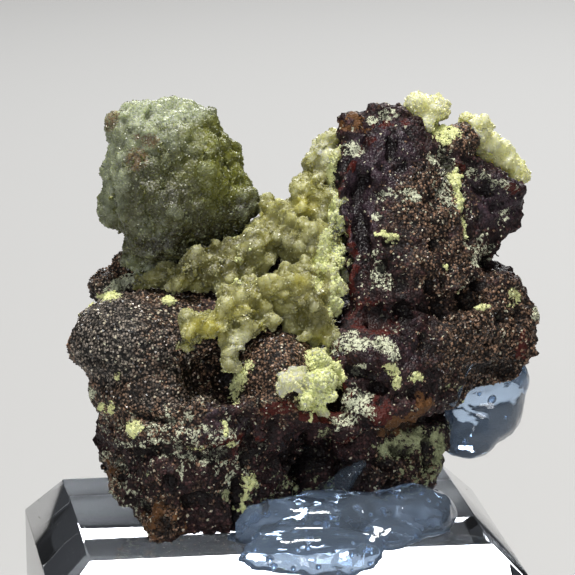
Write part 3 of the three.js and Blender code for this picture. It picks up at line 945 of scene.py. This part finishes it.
ballPlan = {
    "node": "green_austinite_ball",
    "inflate": -0.12 * mm,
    "coarseVoxel": 0.4 * mm,
    "coarseSmooth": 6,
    "fineVoxel": 0.15 * mm,
    "relief": ballRelief,
    "raiseHeight": 0.6 * mm,
    "sinkDepth": 1.0 * mm,
    "swells": ((2.6 * mm, 0.6 * mm), (1.0 * mm, 0.4 * mm), (0.35 * mm, 0.12 * mm)),
    "bubbles": ((2.6 * mm, 1.3 * mm), (1.1 * mm, 0.5 * mm)),
    "crystals": (0.5 * mm, 0.16 * mm),
    "grown": [],
    "buds": {"count": 130, "smallest": (0.8, 0.8, 0.5), "largest": (3.2, 3.2, 1.3), "bias": 1.3,
             "tilt": 0.1, "sink": 0.25, "draw": 41},
    "druse": {"count": 15500, "smallest": (0.12, 0.12, 0.1), "largest": (0.3, 0.3, 0.26), "bias": 1.8,
              "tilt": 0.5, "sink": 0.15, "draw": 42},
}
crustPlan = {
    "node": "yellow_austinite_crust",
    "inflate": -0.1 * mm,
    "coarseVoxel": 0.35 * mm,
    "coarseSmooth": 3,
    "fineVoxel": 0.16 * mm,
    "swells": ((0.9 * mm, 0.35 * mm), (0.35 * mm, 0.12 * mm)),
    "bubbles": ((2.1 * mm, 1.4 * mm), (1.0 * mm, 0.4 * mm)),
    "crystals": (0.5 * mm, 0.16 * mm),
    "grown": [
        (330, 140, 9), (322, 150, 10), (331, 160, 9), (314, 164, 11), (326, 176, 12),
        (308, 180, 11), (300, 192, 10), (318, 194, 13), (334, 198, 9), (288, 206, 10),
        (304, 208, 13), (322, 214, 13), (338, 218, 9), (273, 212, 11), (264, 206, 8),
        (290, 224, 13), (308, 232, 14), (328, 236, 12), (341, 246, 9), (342, 258, 9),
        (342, 270, 9), (342, 282, 9), (341, 292, 8), (272, 236, 11), (256, 246, 12),
        (240, 254, 11), (228, 262, 9), (318, 252, 12), (300, 250, 11), (288, 258, 8),
        (322, 272, 11), (306, 268, 11), (212, 264, 12), (294, 268, 10), (256, 220, 8),
        (250, 228, 7), (238, 236, 7), (226, 242, 6), (214, 246, 6), (202, 249, 6), (192, 252, 6),
        (342, 230, 8), (332, 262, 9), (333, 251, 8), (262, 222, 9), (266, 230, 9), (222, 284, 9),
        (233, 280, 9), (227, 294, 9), (240, 288, 9), (250, 272, 9), (262, 262, 10), (262, 276, 9),
        (286, 272, 9), (312, 280, 11), (198, 270, 15), (182, 278, 10), (170, 282, 7),
        (216, 278, 9), (276, 284, 11), (292, 282, 10), (258, 290, 13), (242, 298, 12),
        (226, 306, 12), (262, 304, 10), (244, 314, 10), (222, 322, 11), (204, 324, 13),
        (192, 332, 12), (208, 334, 9), (187, 325, 8), (197, 344, 6), (308, 292, 13),
        (324, 290, 12), (334, 304, 10), (316, 308, 13), (298, 304, 11), (284, 300, 10),
        (328, 322, 11), (312, 326, 11), (296, 322, 10), (282, 320, 9), (292, 332, 8),
        (306, 334, 9), (320, 336, 9), (332, 334, 8), (258, 325, 7), (247, 332, 7), (237, 342, 7),
        (228, 352, 6), (229, 362, 5), (270, 326, 7), (336, 332, 7), (302, 338, 6),
    ],
    "buds": {"count": 380, "smallest": (0.5, 0.5, 0.5), "largest": (1.7, 1.7, 1.3), "bias": 1.5,
             "tilt": 0.2, "sink": 0.1, "draw": 51},
    "druse": {"count": 12500, "smallest": (0.1, 0.1, 0.09), "largest": (0.3, 0.3, 0.26), "bias": 1.8,
              "tilt": 0.5, "sink": 0.1, "draw": 52},
}
smallPlan = {
    "inflate": 0.15 * mm,
    "coarseVoxel": 0.3 * mm,
    "coarseSmooth": 3,
    "fineVoxel": 0.14 * mm,
    "swells": ((0.9 * mm, 0.3 * mm), (0.35 * mm, 0.12 * mm)),
    "bubbles": ((1.8 * mm, 0.8 * mm), (0.8 * mm, 0.25 * mm)),
    "crystals": (0.5 * mm, 0.16 * mm),
    "buds": {"count": 40, "smallest": (0.5, 0.5, 0.4), "largest": (1.4, 1.4, 1.0), "bias": 1.3,
             "tilt": 0.2, "sink": 0.15, "draw": 61},
    "druse": {"count": 900, "smallest": (0.14, 0.14, 0.12), "largest": (0.4, 0.4, 0.34), "bias": 2.0,
              "tilt": 0.5, "sink": 0.1, "draw": 62},
}
smallPlans = {
    "top_austinite_knob": {"grown": [(420, 106, 14), (431, 112, 13), (426, 120, 10)]},
    "back_austinite_crust": {"grown": [
        (470, 120, 9), (480, 128, 14), (488, 142, 13), (498, 150, 13), (508, 160, 12),
        (518, 172, 11),
    ]},
    "front_austinite_tuft": {
        "inflate": -0.3 * mm,
        "swells": ((1.5 * mm, 1.0 * mm), (0.5 * mm, 0.35 * mm)),
        "bubbles": (),
        "crystals": (1.1 * mm, 0.5 * mm),
        "grown": [
            (279, 385, 5), (284, 377, 5), (292, 372, 5), (299, 378, 5), (290, 386, 6),
            (281, 392, 4), (303, 370, 4), (318, 358, 9), (330, 368, 8), (322, 384, 9),
            (308, 398, 9), (320, 408, 7),
        ],
    },
}
budReach = 7.0  # photo pixels around a bud in which the surface is looked for
budWidth = 2.15  # a bud's width in radii


def growBuds(body, buds):  # round buds where the photograph shows them, on the body or the rock
    pixels = [(across, down) for across, down, _ in buds]
    points = np.array(surfaceBehind([body, rock], pixels, around=budReach))
    axes = [np.tile(axis, (len(buds), 1)) for axis in np.eye(3)]
    sizes = np.array([[budWidth * radius * photoPixel] * 3 for _, _, radius in buds])
    joinInto(body, joinedCopies(body.name + "_grown", roundShape(2, 0.05, 9), points, axes, sizes))


def makeAustinite(plan, zones, bodyMaterial, druseMaterial, slot):
    node = plan["node"]
    body = copyNode(node, node + "_body")
    remesh(body, plan["coarseVoxel"])
    soften(body, plan["coarseSmooth"])
    inflate(body, plan["inflate"])
    if plan["grown"]:
        growBuds(body, plan["grown"])
    joinInto(body, scatter(node + "_buds", body, roundShape(2, 0.03), plan["buds"]))
    remesh(body, plan["fineVoxel"])
    soften(body, 2)
    if "relief" in plan:
        shapeRelief(body, plan["relief"], plan["raiseHeight"], plan["sinkDepth"])
    for size, height in plan["swells"]:
        swell(body, "CLOUDS", size, height)
    for size, height in plan["bubbles"]:
        bubble(body, size, height)
    crack(body, *plan["crystals"])
    paintZones(body, zones)
    paintCrevices(body, *crystalCrevices)
    shadeSmooth(body)
    druse = scatter(node + "_druse", body, grainShape(), plan["druse"], zones=tuple(zones) + ("crevice",))
    shadeFlat(druse)
    finishPiece(body, bodyMaterial, slot, node)
    finishPiece(druse, druseMaterial, slot)
    return body


greenBody, greenDruse = austiniteMaterial(greenLook, False), austiniteMaterial(greenLook, True)
yellowBody, yellowDruse = austiniteMaterial(yellowLook, False), austiniteMaterial(yellowLook, True)
creamBody, creamDruse = austiniteMaterial(creamLook, False), austiniteMaterial(creamLook, True)
makeAustinite(ballPlan, ballZones, greenBody, greenDruse, "green_austinite")
crust = makeAustinite(crustPlan, crustZones, yellowBody, yellowDruse, "yellow_austinite")
makeCrumbs("crust_lemon_crumbs", crust)
smallBodies = {}
for smallNode, changes in smallPlans.items():
    plan = dict(smallPlan, node=smallNode, **changes)
    smallBodies[smallNode] = makeAustinite(plan, crustZones, creamBody, creamDruse, "yellow_austinite")
makeCrumbs("tuft_lemon_crumbs", smallBodies["front_austinite_tuft"])

# Hot-melt glue: smooth clear blobs with trapped bubbles, and strands drawn over the rock
glueLook = {
    "voxel": 0.33 * mm,
    "smooth": 10,
    "inflate": 0.2 * mm,
    "swells": ((2.2 * mm, 0.4 * mm), (0.8 * mm, 0.14 * mm)),
}
bubblePlans = {
    "glue_pool": {"count": 120, "draw": 71},
    "glue_glob": {"count": 24, "draw": 72},
}
bubbleSizes = {"smallest": (0.2, 0.2, 0.2), "largest": (0.8, 0.8, 0.7), "bias": 2.2,
               "tilt": 0.3, "sink": 1.3}
strandPixels = [(368, 461), (361, 465), (352, 472), (344, 481), (337, 491), (328, 500)]
strandWidths = (0.15, 0.4, 0.6, 0.85, 1.1, 1.3)
threadPixels = [(473, 364), (468, 371), (464, 380), (462, 388), (458, 396), (452, 404)]
threadWidths = (0.05, 0.06, 0.06, 0.09, 0.2, 0.35)


def glueMaterial():
    material, tree, shader, place = newMaterial(
        "hotMeltGlue",
        Base_Color=(0.62, 0.78, 1.0, 1),
        Transmission_Weight=0.9,
        IOR=1.48,
    )
    haze = ramp(tree, noiseSocket(tree, place, 320.0, 4.0, 0.6), 0.42, 0.72, 0.02, 0.2)
    tree.links.new(haze, shader.inputs["Roughness"])
    addBump(tree, shader, noiseSocket(tree, place, 700.0, 3.0), 0.25, 0.2 * mm)
    return material


def tubeAlong(name, points, widths):
    curve = bpy.data.curves.new(name, "CURVE")
    curve.dimensions = "3D"
    curve.bevel_depth = mm
    curve.bevel_resolution = 2
    curve.use_fill_caps = True
    spline = curve.splines.new("POLY")
    spline.points.add(len(points) - 1)
    for spot, place, width in zip(spline.points, points, widths):
        spot.co = (*place, 1)
        spot.radius = width
    tube = bpy.data.objects.new(name, curve)
    bpy.context.scene.collection.objects.link(tube)
    focusOn(tube)
    bpy.ops.object.convert(target="MESH")
    return tube


def makeGlue(node, material, additions):
    blob = copyNode(node, node + "_blob")
    for addition in additions:
        joinInto(blob, addition)
    remesh(blob, glueLook["voxel"])
    soften(blob, glueLook["smooth"])
    inflate(blob, glueLook["inflate"])
    for size, height in glueLook["swells"]:
        swell(blob, "CLOUDS", size, height)
    bubbles = scatter(node + "_bubbles", blob, roundShape(3), dict(bubbleSizes, **bubblePlans[node]))
    focusOn(bubbles)
    bpy.ops.object.mode_set(mode="EDIT")
    bpy.ops.mesh.select_all(action="SELECT")
    bpy.ops.mesh.flip_normals()  # the air is on the bubble's inside
    bpy.ops.object.mode_set(mode="OBJECT")
    joinInto(blob, bubbles)
    shadeSmooth(blob)
    finishPiece(blob, material, "glue", node)


def makeGluePieces():
    material = glueMaterial()
    strand = tubeAlong("glue_strand", surfaceBehind([rock], strandPixels), strandWidths)
    makeGlue("glue_pool", material, [strand])
    makeGlue("glue_glob", material, [])
    thread = tubeAlong("glue_thread", surfaceBehind([rock], threadPixels, 0.2 * mm), threadWidths)
    useModifier(thread, "SUBSURF", levels=2)
    shadeSmooth(thread)
    finishPiece(thread, material, "glue")


makeGluePieces()

# Acrylic base
baseLook = {"bevel": 3.1 * mm, "edge": 0.12 * mm}
dustPlan = {"count": 160, "smallest": (0.03, 0.03, 0.02), "largest": (0.1, 0.08, 0.04), "bias": 2.5,
            "tilt": 0.1, "sink": 0.0, "draw": 81}


def acrylicMaterial():
    material, tree, shader, place = newMaterial(
        "clearAcrylic",
        Base_Color=(0.9, 0.94, 1.0, 1),
        Transmission_Weight=1.0,
        IOR=1.49,
    )
    smudges = ramp(tree, noiseSocket(tree, place, 130.0, 5.0, 0.7), 0.5, 0.8, 0.01, 0.12)
    tree.links.new(smudges, shader.inputs["Roughness"])
    stretched = addNode(tree, "ShaderNodeMapping", {"Vector": place, "Scale": (1.0, 0.06, 1.0)})
    scratches = noiseSocket(tree, stretched.outputs["Vector"], 2400.0, 2.0)
    addBump(tree, shader, ramp(tree, scratches, 0.68, 0.72), 0.05, 0.01 * mm)
    return material


def dustMaterial():
    material, tree, shader, _ = newMaterial("dust", Roughness=0.9, Specular_IOR_Level=0.2)
    colour = mixColour(tree, zoneSocket(tree, "tone"), (0.1, 0.07, 0.05, 1), (0.4, 0.4, 0.36, 1))
    tree.links.new(colour, shader.inputs["Base Color"])
    return material


def makeBase():
    low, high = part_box("acrylic_base")
    bpy.ops.object.select_all(action="DESELECT")
    bpy.ops.mesh.primitive_cube_add(size=1, location=(low + high) / 2, scale=high - low)
    base = bpy.context.object
    base.name = "acrylic_base_block"
    bpy.ops.object.transform_apply(location=True, rotation=True, scale=True)
    bpy.ops.object.mode_set(mode="EDIT")
    shape = bmesh.from_edit_mesh(base.data)
    for edge in shape.edges:
        edge.select_set(all(corner.co.z > high.z - mm for corner in edge.verts))
    bmesh.update_edit_mesh(base.data)
    bpy.ops.mesh.bevel(offset=baseLook["bevel"], offset_type="OFFSET", segments=1)
    bpy.ops.object.mode_set(mode="OBJECT")
    useModifier(base, "BEVEL", width=baseLook["edge"], segments=2, limit_method="ANGLE")
    upward = smoothStep(0.3, 0.6, vertexArray(base, "normal")[:, 2])
    dust = scatter("base_dust", base, grainShape(), dustPlan, upward)
    focusOn(base)
    bpy.ops.object.shade_smooth_by_angle(angle=math.radians(20))
    finishPiece(base, acrylicMaterial(), "acrylic", "acrylic_base")
    finishPiece(dust, dustMaterial(), "acrylic")


makeBase()

# Floor, lights and camera
studio = {
    "floor": 3.0,
    "floorDrop": 0.05 * mm,
    "floorColour": (0.47, 0.47, 0.465, 1),
    "world": (0.62, 0.65, 0.7, 1),
    "worldStrength": 0.07,
    "lights": [
        {"name": "keyLight", "at": (0.0, -0.08, 0.6), "size": 0.17, "power": 3.6,
         "colour": (1, 0.98, 0.95)},
        {"name": "fillLight", "at": (-0.16, -0.55, 0.18), "size": 0.2, "power": 0.95,
         "colour": (0.95, 0.97, 1)},
        {"name": "rimLight", "at": (0.12, 0.44, 0.34), "size": 0.2, "power": 1.7,
         "colour": (1, 1, 1)},
    ],
    "aim": (0, 0, 0.026),
}


def makeStudio():
    bpy.ops.object.select_all(action="DESELECT")
    bpy.ops.mesh.primitive_plane_add(size=studio["floor"], location=(0, 0, -studio["floorDrop"]))
    floor = bpy.context.object
    floor.name = "studio_floor"
    material = newMaterial("paleFloor", Base_Color=studio["floorColour"], Roughness=0.7)[0]
    floor.data.materials.append(material)
    world = bpy.data.worlds.new("studioWorld")
    world.use_nodes = True
    background = world.node_tree.nodes["Background"]
    background.inputs["Color"].default_value = studio["world"]
    background.inputs["Strength"].default_value = studio["worldStrength"]
    bpy.context.scene.world = world
    for light in studio["lights"]:
        bpy.ops.object.light_add(type="AREA", location=light["at"])
        lamp = bpy.context.object
        lamp.name = light["name"]
        lamp.data.size = light["size"]
        lamp.data.energy = light["power"]
        lamp.data.color = light["colour"]
        aim = Vector(studio["aim"]) - Vector(light["at"])
        lamp.rotation_euler = aim.to_track_quat("-Z", "Y").to_euler()
    bpy.ops.object.camera_add()
    camera = bpy.context.object
    camera.name = "photo_camera"
    camera.matrix_world = photoCamera
    camera.data.lens = photoView["lens"]
    camera.data.sensor_width = photoView["sensor"]
    camera.data.clip_start = 0.01
    bpy.context.scene.camera = camera
    bpy.context.scene.view_settings.view_transform = "Standard"
    print("studio done")


makeStudio()
